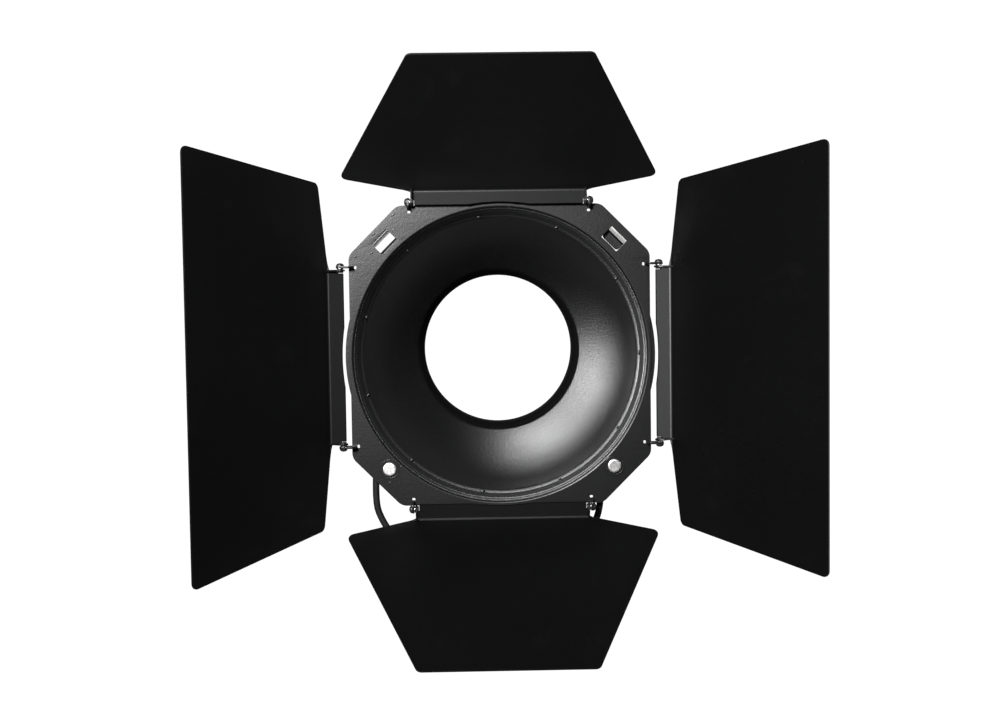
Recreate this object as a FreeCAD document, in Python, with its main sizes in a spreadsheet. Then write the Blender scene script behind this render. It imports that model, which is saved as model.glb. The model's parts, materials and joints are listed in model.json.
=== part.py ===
"""Four-leaf barn door on a round stage-light reflector, as an assembly of separate pieces.

Frame: millimetres, +Z up, light leaves the lamp towards -Y.  The origin is the centre of the rear
rim of the lamp collar.  "Forward" is a distance from that rim along -Y.

A leaf is one folded sheet: a panel, a root flange square to it, and a hinge cheek at each end of
the flange.  Its own frame has X along the hinge axis, Y along the flange and Z along the panel.
A leaf angle of 0 is a panel flat over the mouth, and 180 is a panel spread straight outward.
"""
import FreeCAD
import Part
import Sketcher
import math
import os

DOCUMENT = FreeCAD.newDocument("barn_door_reflector")

SIZES = [
    ("collar_bore", 48.4, "radius of the bore that fits over the lamp head"),
    ("collar_wall", 2.6, "wall of the collar"),
    ("collar_length", 18.0, "collar, rear rim to bowl"),
    ("lug_reach", 3.0, "how far a bayonet lug stands out"),
    ("lug_depth", 3.2, "thickness of a lug along the axis"),
    ("bowl_sheet", 1.0, "spun sheet of the bowl"),
    ("bowl_neck", 50.2, "inner radius of the bowl at the collar"),
    ("bowl_mouth", 80.4, "inner radius of the bowl at its mouth"),
    ("bowl_front", 96.0, "forward place of the bowl mouth"),
    ("bowl_sweep", 118.0, "radius of the curve of the bowl wall"),
    ("rim_outer", 87.4, "outer radius of the bowl lip and the mouth ring"),
    ("plate_front", 106.0, "forward place of the front face of the frame plate"),
    ("plate_sheet", 1.2, "sheet of the frame plate"),
    ("plate_half", 87.7, "half the width of the frame plate"),
    ("plate_chamfer", 28.5, "leg of the plate's cut corners"),
    ("plate_round", 7.5, "rounding of the plate's corners"),
    ("plate_opening", 85.9, "radius of the opening in the plate"),
    ("window_radius", 94.2, "upper clip window, distance from the axis"),
    ("window_long", 12.3, "upper clip window along the cut corner"),
    ("window_wide", 8.0, "upper clip window across it"),
    ("drum_outer", 90.6, "outer radius of the drum behind the plate"),
    ("drum_wall", 2.2, "wall of the drum"),
    ("drum_length", 7.6, "length of the drum"),
    ("slot_depth", 1.8, "slot at the foot of a hinge ear, across the side"),
    ("clip_sheet", 0.8, "spring steel of the rim clips"),
    ("clip_width", 8.0, "width of a rim clip"),
    ("tab_width", 11.6, "width of the tab in an upper window"),
    ("clip_rivet_radius", 93.3, "lower clip rivet, distance from the axis"),
    ("cross_axis", 89.3, "top and bottom hinge axes, distance from the lamp axis"),
    ("side_axis", 92.3, "left and right hinge axes, distance from the lamp axis"),
    ("axis_lift", 3.5, "hinge axis, in front of the plate"),
    ("leaf_sheet", 1.0, "sheet of the leaves"),
    ("flange_set", 1.2, "back of the flange behind the hinge axis"),
    ("cheek_inner", 50.0, "inner face of a cheek from the middle of the leaf"),
    ("ear_inner", 51.8, "inner face of a hinge ear from the middle of the side"),
    ("ear_sheet", 1.2, "sheet of an ear"),
    ("pin_radius", 1.2, "hinge rivet shank"),
    ("pin_play", 0.05, "radial play of a cheek on its rivet"),
    ("cross_flange", 9.0, "root flange of the top and bottom leaves"),
    ("cross_wide", 90.8, "top and bottom leaf, half width at its widest"),
    ("cross_shoulder", 14.4, "top and bottom leaf, root to widest"),
    ("cross_tip", 46.5, "top and bottom leaf, half width at its far edge"),
    ("side_flange", 10.2, "root flange of the left and right leaves"),
    ("side_wide", 100.6, "side leaf, half width near its root"),
    ("side_shoulder", 8.7, "side leaf, root to its inner corners"),
    ("side_tip", 111.7, "side leaf, half width at its far edge"),
    ("leaf_root", 50.8, "half width of every panel at its root"),
    ("leaf_length", 124.5, "root to far edge of every panel"),
    ("leaf_round", 4.0, "rounding of the panel corners"),
    ("recess_half", 17.5, "half length of the hollow in a root flange"),
    ("recess_depth", 1.6, "depth of that hollow"),
    ("cross_angle", 118.0, "resting angle of the top and bottom leaves"),
    ("left_angle", 118.0, "resting angle of the left leaf"),
    ("right_angle", 121.0, "resting angle of the right leaf"),
    ("cord_radius", 2.0, "hanging cord"),
    ("anchor_radius", 2.9, "cord ferrule"),
    ("anchor_length", 10.0, "cord ferrule"),
]

SHEET = DOCUMENT.addObject("Spreadsheet::Sheet", "Sizes")
for row, (alias, value, meaning) in enumerate(SIZES, 1):
    SHEET.set(f"A{row}", alias)
    SHEET.set(f"B{row}", str(value))
    SHEET.setAlias(f"B{row}", alias)
    SHEET.set(f"C{row}", meaning)
DOCUMENT.recompute()

PIECES = []


def number(expression):
    """The value of an expression of sheet cells."""
    return float(SHEET.evalExpression(expression))


def start_body(label):
    """A new body that becomes the node called label."""
    body = DOCUMENT.addObject("PartDesign::Body", label)
    body.Label = label
    PIECES.append(body)
    return body


def origin_feature(body, role):
    return next(item for item in body.Origin.OriginFeatures if item.Role == role)


def add_sketch(body, plane, offset):
    """An empty sketch on one of the body's own origin planes, moved along its normal."""
    sketch = body.newObject("Sketcher::SketchObject", "Sketch")
    sketch.AttachmentSupport = (origin_feature(body, plane), [""])
    sketch.MapMode = "FlatFace"
    sketch.setExpression("AttachmentOffset.Base.z", offset)
    return sketch


def fix(sketch, kind, geometry, point, expression):
    """Bind one coordinate of a point to an expression."""
    index = sketch.addConstraint(Sketcher.Constraint(kind, geometry, point, number(expression)))
    sketch.setExpression(f"Constraints[{index}]", expression)


def draw_polygon(sketch, points):
    """A closed polygon whose corners are pairs of expressions."""
    places = [FreeCAD.Vector(number(x), number(y), 0) for x, y in points]
    first = sketch.GeometryCount
    count = len(points)
    for index, place in enumerate(places):
        sketch.addGeometry(Part.LineSegment(place, places[(index + 1) % count]), False)
    for index, (x, y) in enumerate(points):
        following = first + (index + 1) % count
        sketch.addConstraint(Sketcher.Constraint("Coincident", first + index, 2, following, 1))
        fix(sketch, "DistanceX", first + index, 1, x)
        fix(sketch, "DistanceY", first + index, 1, y)


def draw_circle(sketch, x, y, radius):
    """A circle whose centre and radius are expressions."""
    centre = FreeCAD.Vector(number(x), number(y), 0)
    circle = Part.Circle(centre, FreeCAD.Vector(0, 0, 1), number(radius))
    geometry = sketch.addGeometry(circle, False)
    fix(sketch, "DistanceX", geometry, 3, x)
    fix(sketch, "DistanceY", geometry, 3, y)
    index = sketch.addConstraint(Sketcher.Constraint("Radius", geometry, number(radius)))
    sketch.setExpression(f"Constraints[{index}]", radius)


def pad(body, sketch, length, middle=False):
    feature = body.newObject("PartDesign::Pad", "Pad")
    feature.Profile = sketch
    feature.setExpression("Length", length)
    feature.Midplane = middle
    return feature


def pocket(body, sketch, length, middle=False):
    """A cut, and proof that it removed material."""
    DOCUMENT.recompute()
    before = body.Shape.Volume
    feature = body.newObject("PartDesign::Pocket", "Pocket")
    feature.Profile = sketch
    feature.setExpression("Length", length)
    feature.Midplane = middle
    DOCUMENT.recompute()
    assert body.Shape.Volume < before - 0.1, f"{body.Label}: the pocket cut nothing"
    return feature


def revolve(body, points, axis="Y_Axis"):
    """A ring turned about the lamp axis: points are (radius, forward) expressions."""
    sketch = add_sketch(body, "XY_Plane", "0")
    draw_polygon(sketch, [(radius, f"-({forward})") for radius, forward in points])
    return turn(body, sketch, axis)


def turn(body, sketch, axis="Y_Axis"):
    feature = body.newObject("PartDesign::Revolution", "Revolution")
    feature.Profile = sketch
    feature.ReferenceAxis = (origin_feature(body, axis), [""])
    feature.Angle = 360
    return feature


def repeat(body, originals, count, axis="Y_Axis"):
    """The same features again, all the way round."""
    pattern = body.newObject("PartDesign::PolarPattern", "PolarPattern")
    pattern.Originals = originals
    pattern.Axis = (origin_feature(body, axis), [""])
    pattern.Angle = 360
    pattern.Occurrences = count
    body.Tip = pattern
    return pattern


def round_edges(body, chosen, radius):
    """Fillet the edges of the body's tip for which chosen(edge) is true."""
    DOCUMENT.recompute()
    tip = body.Tip
    names = [f"Edge{i}" for i, edge in enumerate(tip.Shape.Edges, 1) if chosen(edge)]
    feature = body.newObject("PartDesign::Fillet", "Fillet")
    feature.Base = (tip, names)
    feature.setExpression("Radius", radius)
    return feature


def is_along(edge, direction):
    """True for a straight edge parallel to direction."""
    if not isinstance(edge.Curve, Part.Line):
        return False
    return abs(abs(edge.tangentAt(edge.FirstParameter).dot(direction)) - 1) < 1e-6


def turned(degrees):
    """A placement turned about the lamp axis."""
    return FreeCAD.Placement(FreeCAD.Vector(), FreeCAD.Rotation(FreeCAD.Vector(0, 1, 0), degrees))


# ---------------------------------------------------------------- the reflector

def make_collar():
    body = start_body("lamp_collar")
    bore = "Sizes.collar_bore"
    outer = "Sizes.collar_bore + Sizes.collar_wall"
    length = "Sizes.collar_length"
    step = "Sizes.bowl_neck + 0.1"
    revolve(body, [
        (bore, "0"),
        (f"{outer} - 0.8", "0"),
        (outer, "0.8"),
        (outer, f"{length} - 1.5"),
        (f"{outer} + 4.6", f"{length} - 1.5"),
        (f"{outer} + 4.6", length),
        (step, length),
        (bore, f"{length} - 1.0"),
    ])


def make_lugs():
    """Three bayonet lugs, each an arc of a ring on the outside of the collar."""
    inner = number("Sizes.collar_bore + Sizes.collar_wall")
    reach = number("Sizes.lug_reach")
    depth = number("Sizes.lug_depth")
    setback = 2.0
    span = 34.0
    lugs = []
    for index in range(3):
        ring = Part.makeCylinder(inner + reach, depth, FreeCAD.Vector(0, -setback, 0),
                                 FreeCAD.Vector(0, -1, 0), span)
        core = Part.makeCylinder(inner, depth, FreeCAD.Vector(0, -setback, 0),
                                 FreeCAD.Vector(0, -1, 0), span)
        lug = ring.cut(core)
        lug.rotate(FreeCAD.Vector(), FreeCAD.Vector(0, 1, 0), 120 * index + span / 2)
        lugs.append(lug)
    feature = DOCUMENT.addObject("Part::Feature", "collar_lugs")
    feature.Shape = Part.makeCompound(lugs)
    feature.Placement = turned(15)
    PIECES.append(feature)


def make_bowl():
    """The spun bowl: a wall between two concentric arcs, a lip at the mouth, a foot at the neck."""
    body = start_body("reflector_bowl")
    neck = number("Sizes.bowl_neck")
    mouth = number("Sizes.bowl_mouth")
    back = number("Sizes.collar_length")
    front = number("Sizes.bowl_front")
    sweep = number("Sizes.bowl_sweep")
    sheet = number("Sizes.bowl_sheet")
    start = FreeCAD.Vector(neck, -back, 0)
    end = FreeCAD.Vector(mouth, -front, 0)
    middle = (start + end) * 0.5
    chord = end - start
    inward = FreeCAD.Vector(chord.y, -chord.x, 0).normalize()
    centre = middle + inward * math.sqrt(sweep ** 2 - (chord.Length / 2) ** 2)

    def at_forward(radius, forward):
        """The place on a circle about the centre at a forward distance, on the outer side."""
        drop = -forward - centre.y
        return FreeCAD.Vector(centre.x + math.sqrt(radius ** 2 - drop ** 2), -forward, 0)

    sketch = add_sketch(body, "XY_Plane", "0")
    outer_start = at_forward(sweep + sheet, back)
    outer_end = at_forward(sweep + sheet, front)
    corners = [start, end, outer_end, outer_start]
    for radius, first, last in ((sweep, start, end), (sweep + sheet, outer_start, outer_end)):
        angles = [math.atan2(place.y - centre.y, place.x - centre.x) for place in (last, first)]
        circle = Part.Circle(centre, FreeCAD.Vector(0, 0, 1), radius)
        sketch.addGeometry(Part.ArcOfCircle(circle, *angles), False)
    sketch.addGeometry(Part.LineSegment(corners[1], corners[2]), False)
    sketch.addGeometry(Part.LineSegment(corners[3], corners[0]), False)
    inner_arc, outer_arc, mouth_line, neck_line = range(4)
    for pair in ((inner_arc, 1, mouth_line, 1), (mouth_line, 2, outer_arc, 1),
                 (outer_arc, 2, neck_line, 1), (neck_line, 2, inner_arc, 2),
                 (inner_arc, 3, outer_arc, 3)):
        sketch.addConstraint(Sketcher.Constraint("Coincident", *pair))
    fix(sketch, "DistanceX", inner_arc, 2, "Sizes.bowl_neck")
    fix(sketch, "DistanceY", inner_arc, 2, "-Sizes.collar_length")
    fix(sketch, "DistanceX", inner_arc, 1, "Sizes.bowl_mouth")
    fix(sketch, "DistanceY", inner_arc, 1, "-Sizes.bowl_front")
    fix(sketch, "DistanceY", outer_arc, 1, "-Sizes.bowl_front")
    fix(sketch, "DistanceY", outer_arc, 2, "-Sizes.collar_length")
    for arc, radius in ((inner_arc, "Sizes.bowl_sweep"),
                        (outer_arc, "Sizes.bowl_sweep + Sizes.bowl_sheet")):
        index = sketch.addConstraint(Sketcher.Constraint("Radius", arc, number(radius)))
        sketch.setExpression(f"Constraints[{index}]", radius)
    turn(body, sketch)
    revolve(body, [
        ("Sizes.bowl_mouth", "Sizes.bowl_front"),
        ("Sizes.bowl_mouth", "Sizes.bowl_front + Sizes.bowl_sheet"),
        ("Sizes.rim_outer", "Sizes.bowl_front + Sizes.bowl_sheet"),
        ("Sizes.rim_outer", "Sizes.bowl_front"),
    ])
    revolve(body, [
        ("Sizes.bowl_neck + 0.1", "Sizes.collar_length"),
        ("Sizes.bowl_neck + 5.0", "Sizes.collar_length"),
        ("Sizes.bowl_neck + 5.0", "Sizes.collar_length + Sizes.bowl_sheet"),
        ("Sizes.bowl_neck + 0.5", "Sizes.collar_length + Sizes.bowl_sheet"),
    ])


def make_mouth_ring():
    """The pressed ring in front of the bowl lip, with a standing bead round its outside."""
    body = start_body("mouth_ring")
    base = "Sizes.bowl_front + Sizes.bowl_sheet"
    top = "Sizes.plate_front - Sizes.plate_sheet - 0.5"
    inner = "Sizes.bowl_mouth + 0.2"
    outer = "Sizes.rim_outer"
    revolve(body, [
        (inner, base),
        (outer, base),
        (outer, f"{top} - 0.7"),
        (f"{outer} - 0.7", top),
        (f"{outer} - 1.7", top),
        (f"{outer} - 2.4", f"{top} - 0.7"),
        (f"{outer} - 2.4", f"{base} + 1.2"),
        (f"{inner} + 1.2", f"{base} + 1.2"),
        (f"{inner} + 0.9", f"{base} + 2.0"),
        (f"{inner} + 0.3", f"{base} + 2.0"),
    ])


def make_crimps():
    """Eleven small domed crimps round the mouth ring."""
    body = start_body("ring_crimps")
    radius = "(Sizes.bowl_mouth + Sizes.rim_outer) / 2 - 0.5"
    sketch = add_sketch(body, "XZ_Plane", "Sizes.bowl_front + Sizes.bowl_sheet + 1.2")
    draw_circle(sketch, radius, "0", "1.1")
    dot = pad(body, sketch, "0.7")
    repeat(body, [dot], 11)


def make_collar_rivets():
    """Six rivets through the bowl's foot and the collar's flange."""
    body = start_body("collar_rivets")
    radius = "Sizes.collar_bore + Sizes.collar_wall + 2.6"
    sketch = add_sketch(body, "XZ_Plane", "Sizes.collar_length - 2.5")
    draw_circle(sketch, radius, "0", "1.4")
    dot = pad(body, sketch, "1.0")
    repeat(body, [dot], 6)


# ---------------------------------------------------------------- the frame that carries the leaves

def make_plate():
    """Cut-corner square plate with a round opening, clip windows and eight bent hinge ears."""
    body = start_body("frame_plate")
    back = "Sizes.plate_front - Sizes.plate_sheet"
    half = "Sizes.plate_half"
    short = "(Sizes.plate_half - Sizes.plate_chamfer)"
    sketch = add_sketch(body, "XZ_Plane", back)
    draw_polygon(sketch, [
        (f"-{short}", f"-{half}"), (short, f"-{half}"), (half, f"-{short}"), (half, short),
        (short, half), (f"-{short}", half), (f"-{half}", short), (f"-{half}", f"-{short}"),
    ])
    pad(body, sketch, "Sizes.plate_sheet")
    forward = FreeCAD.Vector(0, 1, 0)
    round_edges(body, lambda edge: is_along(edge, forward), "Sizes.plate_round")
    opening = add_sketch(body, "XZ_Plane", "Sizes.plate_front + 1")
    draw_circle(opening, "0", "0", "Sizes.plate_opening")
    pocket(body, opening, "4")

    diagonal = "Sizes.window_radius / sqrt(2)"
    along = "Sizes.window_long / 2 / sqrt(2)"
    across = "Sizes.window_wide / 2 / sqrt(2)"
    for side in ("", "-"):
        window = add_sketch(body, "XZ_Plane", "Sizes.plate_front + 1")
        draw_polygon(window, [
            (f"{side}({diagonal} + {across} - {along})", f"{diagonal} + {across} + {along}"),
            (f"{side}({diagonal} - {across} - {along})", f"{diagonal} - {across} + {along}"),
            (f"{side}({diagonal} - {across} + {along})", f"{diagonal} - {across} - {along}"),
            (f"{side}({diagonal} + {across} + {along})", f"{diagonal} + {across} - {along}"),
        ])
        pocket(body, window, "4")
        holes = add_sketch(body, "XZ_Plane", "Sizes.plate_front + 1")
        rivet = "Sizes.clip_rivet_radius / sqrt(2)"
        draw_circle(holes, f"{side}({rivet})", f"-({rivet})", "2.2")
        pocket(body, holes, "4")

    bent = []
    ear_top = "Sizes.side_axis + 3.2"
    ear_foot = "Sizes.plate_half - 3.1"
    lift = "Sizes.plate_front + Sizes.axis_lift"
    for place in ("Sizes.ear_inner", "-(Sizes.ear_inner + Sizes.ear_sheet)"):
        sketch = add_sketch(body, "YZ_Plane", place)
        draw_polygon(sketch, [
            (f"-({back})", ear_foot), (f"-({back})", f"{ear_top} - 2"),
            (f"-({lift})", ear_top), (f"-({lift} + 2.2)", f"{ear_top} - 1"),
            (f"-({lift} + 3)", "Sizes.cross_axis"), (f"-({lift} + 2.2)", ear_foot),
        ])
        bent.append(pad(body, sketch, "Sizes.ear_sheet"))
    for side in ("", "-"):
        slot = add_sketch(body, "XZ_Plane", "Sizes.plate_front + 6")
        near = f"{side}(Sizes.ear_inner - 0.8)"
        far = f"{side}(Sizes.ear_inner + Sizes.ear_sheet + 0.4)"
        low = f"{ear_foot} - Sizes.slot_depth"
        draw_polygon(slot, [(near, low), (far, low), (far, ear_foot), (near, ear_foot)])
        bent.append(pocket(body, slot, "9"))
    repeat(body, bent, 4)

    for side in ("", "-"):
        ear_middle = f"{side}(Sizes.ear_inner + Sizes.ear_sheet / 2)"
        for flip in ("", "-"):
            cross = add_sketch(body, "YZ_Plane", ear_middle)
            draw_circle(cross, f"-({lift})", f"{flip}Sizes.cross_axis", "Sizes.pin_radius")
            pocket(body, cross, "4", middle=True)
            upright = add_sketch(body, "XY_Plane", ear_middle)
            draw_circle(upright, f"{flip}Sizes.side_axis", f"-({lift})", "Sizes.pin_radius")
            pocket(body, upright, "4", middle=True)


def tilted_box(sketch, side, flip, inner, outer, half_width):
    """A rectangle on a diagonal, between two distances from the axis."""
    draw_polygon(sketch, [
        (f"{side}(({inner} + {half_width}) / sqrt(2))", f"{flip}(({inner} - {half_width}) / sqrt(2))"),
        (f"{side}(({inner} - {half_width}) / sqrt(2))", f"{flip}(({inner} + {half_width}) / sqrt(2))"),
        (f"{side}(({outer} - {half_width}) / sqrt(2))", f"{flip}(({outer} + {half_width}) / sqrt(2))"),
        (f"{side}(({outer} + {half_width}) / sqrt(2))", f"{flip}(({outer} - {half_width}) / sqrt(2))"),
    ])


def make_drum():
    """The short drum behind the plate that goes round the reflector rim.

    It is notched for the lower clips, and two hooks on its upper edge hold the rim from behind.
    """
    body = start_body("drum_ring")
    front = "Sizes.plate_front - Sizes.plate_sheet"
    back = f"{front} - Sizes.drum_length"
    inner = "Sizes.drum_outer - Sizes.drum_wall"
    revolve(body, [
        (inner, back), ("Sizes.drum_outer", back), ("Sizes.drum_outer", front), (inner, front),
    ])
    inside = "(Sizes.rim_outer - 1)"
    half = "(Sizes.clip_width / 2 + 0.6)"
    leg_room = ("(Sizes.drum_outer - 0.8)", "Sizes.drum_length + 2")
    base_room = ("(Sizes.drum_outer + 3)", "Sizes.clip_sheet + 2.8")
    for side in ("", "-"):
        for outside, depth in (leg_room, base_room):
            notch = add_sketch(body, "XZ_Plane", f"{front} + 1")
            tilted_box(notch, side, "-", inside, outside, half)
            pocket(body, notch, depth)
    finger = "Sizes.bowl_front - 0.4"
    hook_half = "(Sizes.clip_width / 2)"
    for side in ("", "-"):
        leg = add_sketch(body, "XZ_Plane", f"{finger} - Sizes.clip_sheet")
        tilted_box(leg, side, "", f"({inner} + 0.6)", "(Sizes.drum_outer - 0.4)", hook_half)
        pad(body, leg, f"{back} + 0.2 - ({finger} - Sizes.clip_sheet)")
        hook = add_sketch(body, "XZ_Plane", f"{finger} - Sizes.clip_sheet")
        tilted_box(hook, side, "", "(Sizes.bowl_mouth + 4)", "(Sizes.drum_outer - 0.4)", hook_half)
        pad(body, hook, "Sizes.clip_sheet")


def clip_from_profile(label, degrees, profile, width="Sizes.clip_width"):
    """A bent strip: its section is drawn in radius and forward distance."""
    body = start_body(label)
    sketch = add_sketch(body, "XY_Plane", "0")
    draw_polygon(sketch, [(radius, f"-({forward})") for radius, forward in profile])
    pad(body, sketch, width, middle=True)
    body.Placement = turned(degrees)
    return body


def make_tabs():
    """Tabs bent back at the outer edges of the upper windows: a steep one and a stepped one."""
    base = "Sizes.plate_front - Sizes.plate_sheet"
    outer = "Sizes.window_radius + Sizes.window_wide / 2"
    sheet = "Sizes.clip_sheet"
    root = [(f"{outer} + 3.6", base), (f"{outer} + 3.6", f"{base} - {sheet}")]
    steep = root + [
        (f"{outer} + 0.7", f"{base} - {sheet}"), (f"{outer} - 1.6", f"{base} - 7.4"),
        (f"{outer} - 2.4", f"{base} - 7.4"), (f"{outer} - 0.2", base),
    ]
    stepped = root + [
        (f"{outer} - 0.1", f"{base} - {sheet}"), (f"{outer} - 3.4", f"{base} - 3.6"),
        (f"{outer} - 7.2", f"{base} - 3.6"), (f"{outer} - 7.2", f"{base} - 3.6 + {sheet}"),
        (f"{outer} - 3.6", f"{base} - 3.6 + {sheet}"), (f"{outer} - 0.6", base),
    ]
    clip_from_profile("rim_tab_upper_right", -45, stepped, "Sizes.tab_width")
    clip_from_profile("rim_tab_upper_left", -135, steep, "Sizes.tab_width")


def make_clips():
    """Spring clips riveted behind the lower corners, which hook over the reflector's rim."""
    sheet = "Sizes.clip_sheet"
    base = "Sizes.plate_front - Sizes.plate_sheet"
    hook = "Sizes.bowl_front - 0.4"
    finger = "Sizes.bowl_mouth + 4.0"
    leg = "Sizes.rim_outer + 1.4"
    profile = [
        ("Sizes.clip_rivet_radius + 3.2", base),
        ("Sizes.clip_rivet_radius + 3.2", f"{base} - {sheet}"),
        (f"{leg} + {sheet}", f"{base} - {sheet}"), (f"{leg} + {sheet}", f"{hook} - {sheet}"),
        (finger, f"{hook} - {sheet}"), (finger, hook), (leg, hook), (leg, base),
    ]
    for label, degrees in (("rim_clip_lower_right", 45), ("rim_clip_lower_left", 135)):
        body = clip_from_profile(label, degrees, profile)
        hole = add_sketch(body, "XZ_Plane", "Sizes.plate_front")
        draw_circle(hole, "Sizes.clip_rivet_radius", "0", "2.2")
        pocket(body, hole, "3")


def make_rivet(label, profile, placement):
    """A turned rivet: (radius, height) expressions, with the height along its own Z axis."""
    body = start_body(label)
    sketch = add_sketch(body, "XZ_Plane", "0")
    draw_polygon(sketch, profile)
    turn(body, sketch, "Z_Axis")
    body.Placement = placement
    return body


def make_clip_rivets():
    """Large bare rivets of the lower clips: flat head in front, flat tail behind."""
    grip = "(Sizes.plate_sheet + Sizes.clip_sheet)"
    profile = [
        ("0", f"-{grip} - 1.2"), ("3.1", f"-{grip} - 1.2"), ("3.1", f"-{grip}"),
        ("2.2", f"-{grip}"), ("2.2", "0"), ("4.0", "0"), ("4.0", "0.8"), ("3.6", "1.2"),
        ("0", "1.2"),
    ]
    forward = FreeCAD.Rotation(FreeCAD.Vector(1, 0, 0), 90)
    away = number("Sizes.clip_rivet_radius / sqrt(2)")
    for side, name in ((1, "right"), (-1, "left")):
        place = FreeCAD.Vector(side * away, -number("Sizes.plate_front"), -away)
        make_rivet(f"clip_rivet_lower_{name}", profile, FreeCAD.Placement(place, forward))


# ---------------------------------------------------------------- leaves and hinges

def make_leaf(label, kind):
    """A folded leaf; kind is cross for top and bottom, side for left and right."""
    body = start_body(label)
    flange = f"Sizes.{kind}_flange"
    back = "Sizes.flange_set"
    panel = add_sketch(body, "XZ_Plane", f"-{flange}")
    right = [
        ("Sizes.leaf_root", f"-{back}"),
        (f"Sizes.{kind}_wide", f"Sizes.{kind}_shoulder - {back}"),
        (f"Sizes.{kind}_tip", f"Sizes.leaf_length - {back}"),
    ]
    left = [(f"-({x})", y) for x, y in reversed(right)]
    draw_polygon(panel, right + left)
    pad(body, panel, "Sizes.leaf_sheet")
    normal = FreeCAD.Vector(0, 1, 0)
    root_limit = number("Sizes.leaf_root") + 1

    def is_outer_corner(edge):
        return is_along(edge, normal) and (abs(edge.CenterOfMass.x) > root_limit
                                           or edge.CenterOfMass.z > 5)

    round_edges(body, is_outer_corner, "Sizes.leaf_round")

    wall = add_sketch(body, "XY_Plane", f"-{back}")
    cheek = "Sizes.cheek_inner"
    relief = f"({cheek} - 1.6)"
    lip = "-0.8"
    steps = ("1", "0.75", "0.5", "0.25")
    hollow = [(f"Sizes.recess_half * {x}", f"{lip} + Sizes.recess_depth * (1 - {x} * {x})")
              for x in steps]
    edge_side = [(cheek, flange), (cheek, "2.3"), (relief, "2.3"), (relief, lip)] + hollow
    mirrored = [(f"-({x})", y) for x, y in reversed(edge_side)]
    draw_polygon(wall, edge_side + mirrored)
    pad(body, wall, "Sizes.leaf_sheet")

    for place in (cheek, f"-({cheek} + Sizes.leaf_sheet)"):
        side = add_sketch(body, "YZ_Plane", place)
        draw_polygon(side, [
            ("-1.6", "-2.4"), ("-2.8", "-0.8"), ("-2.8", "0.8"), ("-1.8", "2.4"), ("0.6", "3.2"),
            (f"{flange} - 2", "2.4"), (flange, "1.6"), (flange, f"-{back}"), ("3.4", f"-{back}"),
            ("2.0", "-2.4"),
        ])
        draw_circle(side, "0", "0", "Sizes.pin_radius + Sizes.pin_play")
        pad(body, side, "Sizes.leaf_sheet")
    return body


def hinge_frame(side_degrees, kind, angle):
    """Where a leaf's own frame lies: on its side of the plate and opened to an angle."""
    out = number(f"Sizes.{kind}_axis")
    front = number("Sizes.plate_front + Sizes.axis_lift")
    opened = FreeCAD.Rotation(FreeCAD.Vector(1, 0, 0), 180 - angle)
    at_top = FreeCAD.Placement(FreeCAD.Vector(0, -front, out), opened)
    return turned(side_degrees).multiply(at_top)


SIDES = (("top", 0, "cross", "cross_angle"), ("right", 90, "side", "right_angle"),
         ("bottom", 180, "cross", "cross_angle"), ("left", -90, "side", "left_angle"))


def make_leaves():
    for name, degrees, kind, angle in SIDES:
        leaf = make_leaf(f"leaf_{name}", kind)
        leaf.Placement = hinge_frame(degrees, kind, number(f"Sizes.{angle}"))


def make_hinge_pins():
    """A rivet and a friction washer at both ends of every hinge."""
    ear = "Sizes.ear_inner"
    outside = "Sizes.ear_inner + Sizes.ear_sheet"
    inside = "Sizes.cheek_inner - 0.05"
    shank = "Sizes.pin_radius"
    rivet = [
        ("0", f"{inside} - 0.8"), ("1.9", f"{inside} - 0.8"), ("1.9", inside), (shank, inside),
        (shank, outside), ("2.3", outside), ("2.2", f"{outside} + 0.8"),
        ("1.4", f"{outside} + 1.5"), ("0", f"{outside} + 1.8"),
    ]
    washer = [(shank, f"{ear} - 0.7"), ("2.5", f"{ear} - 0.7"), ("2.5", ear), (shank, ear)]
    for name, degrees, kind, _ in SIDES:
        hinge = hinge_frame(degrees, kind, 90)
        for end, turn_end in (("a", 90), ("b", -90)):
            along = FreeCAD.Rotation(FreeCAD.Vector(0, 1, 0), turn_end)
            placement = hinge.multiply(FreeCAD.Placement(FreeCAD.Vector(), along))
            make_rivet(f"hinge_rivet_{name}_{end}", rivet, placement)
            make_rivet(f"hinge_washer_{name}_{end}", washer, placement)


# ---------------------------------------------------------------- the hanging cord

CORD_ROUTE = [
    (-74.7, -96.5, -69.5),
    (-75.4, -96.5, -86),
    (-72.6, -96.2, -96),
    (-65.5, -95.8, -107.5),
    (-54.2, -95.3, -119),
    (-40, -94.8, -128),
    (-24.5, -94.4, -134.5),
    (-8.5, -94.2, -138),
    (8, -94.3, -137.5),
    (23.5, -94.6, -133),
    (36, -95.1, -125),
    (46, -95.6, -114.5),
    (53.2, -96.1, -104.5),
    (58.2, -96.5, -93.5),
    (58.5, -96.5, -83),
]


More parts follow.
